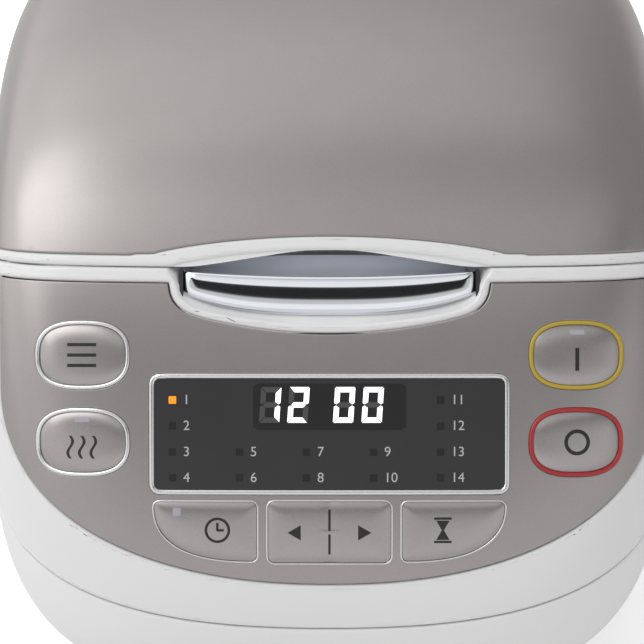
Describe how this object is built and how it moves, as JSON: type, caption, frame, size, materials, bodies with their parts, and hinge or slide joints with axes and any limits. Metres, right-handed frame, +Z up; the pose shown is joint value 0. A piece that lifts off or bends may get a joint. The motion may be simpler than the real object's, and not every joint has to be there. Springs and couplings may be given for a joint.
{
  "type": "rice cooker",
  "caption": "Countertop rice cooker with a hinged dome lid, a sloped panel of keys and digits, a chrome push latch, and a lift-out pot over a sprung sensor.",
  "frame": {"origin": "table plane under the middle of the body's bounding box", "axes": "+Z up, -Y towards the control panel, X across the width"},
  "size_m": [0.27, 0.3389, 0.2147],
  "materials": {
    "white_shell": "gloss",
    "white_base": "satin",
    "champagne": "satin metallic",
    "silver": "polished",
    "smoke": "gloss",
    "lit_white": "lit",
    "unlit_grey": "gloss",
    "amber": "lit",
    "yellow": "gloss",
    "red": "gloss",
    "key_grey": "satin",
    "lamp": "satin",
    "board": "satin",
    "black_plastic": "satin",
    "steel": "brushed",
    "galvanised": "brushed",
    "cast": "cast",
    "brass": "plain",
    "pot_coat": "non-stick",
    "seal": "matte",
    "foot": "matte",
    "white_part": "satin",
    "clear_cup": "satin",
    "chrome": "polished",
    "lid_metal": "satin"
  },
  "bodies": {
    "housing": {"lower_case": "white_base", "upper_frame": "white_shell", "control_panel": "champagne", "display_bezel": "silver", "display_window": "smoke", "digit_plate": "smoke", "digits_lit": "lit_white", "digits_unlit": "unlit_grey", "menu_markers": "unlit_grey", "menu_lamp": "amber", "silver_rings": "silver", "start_ring": "yellow", "off_ring": "red", "control_board": "board", "tact_switches": "black_plastic", "inner_liner": "galvanised", "heater_plate": "cast", "heater_terminals": "brass", "power_board": "board", "base_plate": "white_base", "feet": "foot", "base_screws": "steel", "power_inlet": "black_plastic", "inlet_pins": "brass", "hinge_pin": "steel", "hinge_spring": "steel", "hook_pin": "steel", "latch_spring": "steel", "sensor_spring": "steel"},
    "pot": {"inner_pot": "pot_coat"},
    "sensor": {"sensor_cup": "lid_metal"},
    "lid": {"lid_cover": "champagne", "lid_frame": "white_shell", "lid_liner": "white_part", "inner_lid": "lid_metal", "lid_gasket": "seal", "lid_tab": "black_plastic", "lid_striker": "steel", "lid_sensor": "lid_metal", "vent_seat": "seal"},
    "vent": {"vent_cap": "champagne"},
    "dew": {"dew_cup": "clear_cup"},
    "button": {"open_button": "chrome"},
    "hook": {"latch_hook": "steel"},
    "rocker": {"rocker_key": "key_grey"},
    "menu": {"menu_key": "key_grey"},
    "keep_warm": {"warm_key": "key_grey", "warm_lamp": "lamp"},
    "start": {"start_key": "key_grey", "start_lamp": "lamp"},
    "off": {"off_key": "key_grey"},
    "timer": {"timer_key": "key_grey", "timer_lamp": "lamp"},
    "cooking": {"cook_key": "key_grey"}
  },
  "joints": [
    {"name": "lid_hinge", "type": "hinge", "parent": "housing", "child": "lid", "pos_m": [0, 0.15, 0.177], "axis": [-1, 0, 0], "range_deg": [0, 85]},
    {"name": "button_press", "type": "slide", "parent": "housing", "child": "button", "axis": [0, 1, 0], "range_m": [0, 0.003], "stiffness_N_per_m": 600, "springref_m": -0.002},
    {"name": "hook_turn", "type": "hinge", "parent": "housing", "child": "hook", "pos_m": [0, -0.0655, 0.158], "axis": [-1, 0, 0], "range_deg": [0, 14]},
    {"name": "pot_turn", "type": "hinge", "parent": "housing", "child": "pot", "pos_m": [0, 0.044, 0.044], "axis": [0, 0, 1], "continuous": true},
    {"name": "sensor_sink", "type": "slide", "parent": "housing", "child": "sensor", "axis": [0, 0, -1], "range_m": [0, 0.0015], "stiffness_N_per_m": 800, "springref_m": -0.002, "deforming": ["sensor_spring"]},
    {"name": "vent_lift", "type": "slide", "parent": "lid", "child": "vent", "axis": [0, 0.1994, 0.9799], "range_m": [0, 0.014]},
    {"name": "dew_slide", "type": "slide", "parent": "housing", "child": "dew", "axis": [0, 1, 0], "range_m": [0, 0.018]},
    {"name": "menu_press", "type": "slide", "parent": "housing", "child": "menu", "axis": [0.1637, 0.7159, -0.6787], "range_m": [0, 0.0008], "stiffness_N_per_m": 1200, "springref_m": -0.0006},
    {"name": "keep_warm_press", "type": "slide", "parent": "housing", "child": "keep_warm", "axis": [0.2116, 0.7609, -0.6134], "range_m": [0, 0.0008], "stiffness_N_per_m": 1200, "springref_m": -0.0006},
    {"name": "start_press", "type": "slide", "parent": "housing", "child": "start", "axis": [-0.1637, 0.7159, -0.6787], "range_m": [0, 0.0008], "stiffness_N_per_m": 1200, "springref_m": -0.0006},
    {"name": "off_press", "type": "slide", "parent": "housing", "child": "off", "axis": [-0.2116, 0.7609, -0.6134], "range_m": [0, 0.0008], "stiffness_N_per_m": 1200, "springref_m": -0.0006},
    {"name": "timer_press", "type": "slide", "parent": "housing", "child": "timer", "axis": [0.0603, 0.8197, -0.5696], "range_m": [0, 0.0008], "stiffness_N_per_m": 1200, "springref_m": -0.0006},
    {"name": "cooking_press", "type": "slide", "parent": "housing", "child": "cooking", "axis": [-0.0603, 0.8197, -0.5696], "range_m": [0, 0.0008], "stiffness_N_per_m": 1200, "springref_m": -0.0006},
    {"name": "rocker_tilt", "type": "hinge", "parent": "housing", "child": "rocker", "pos_m": [0, -0.14594, 0.10654], "axis": [0, 0.5716, 0.8205], "range_deg": [-2, 2], "stiffness_Nm_per_rad": 0.8}
  ],
  "couplings": [
    {"joint": "hook_turn", "follows": "button_press", "rad_per_m": 81.4}
  ]
}
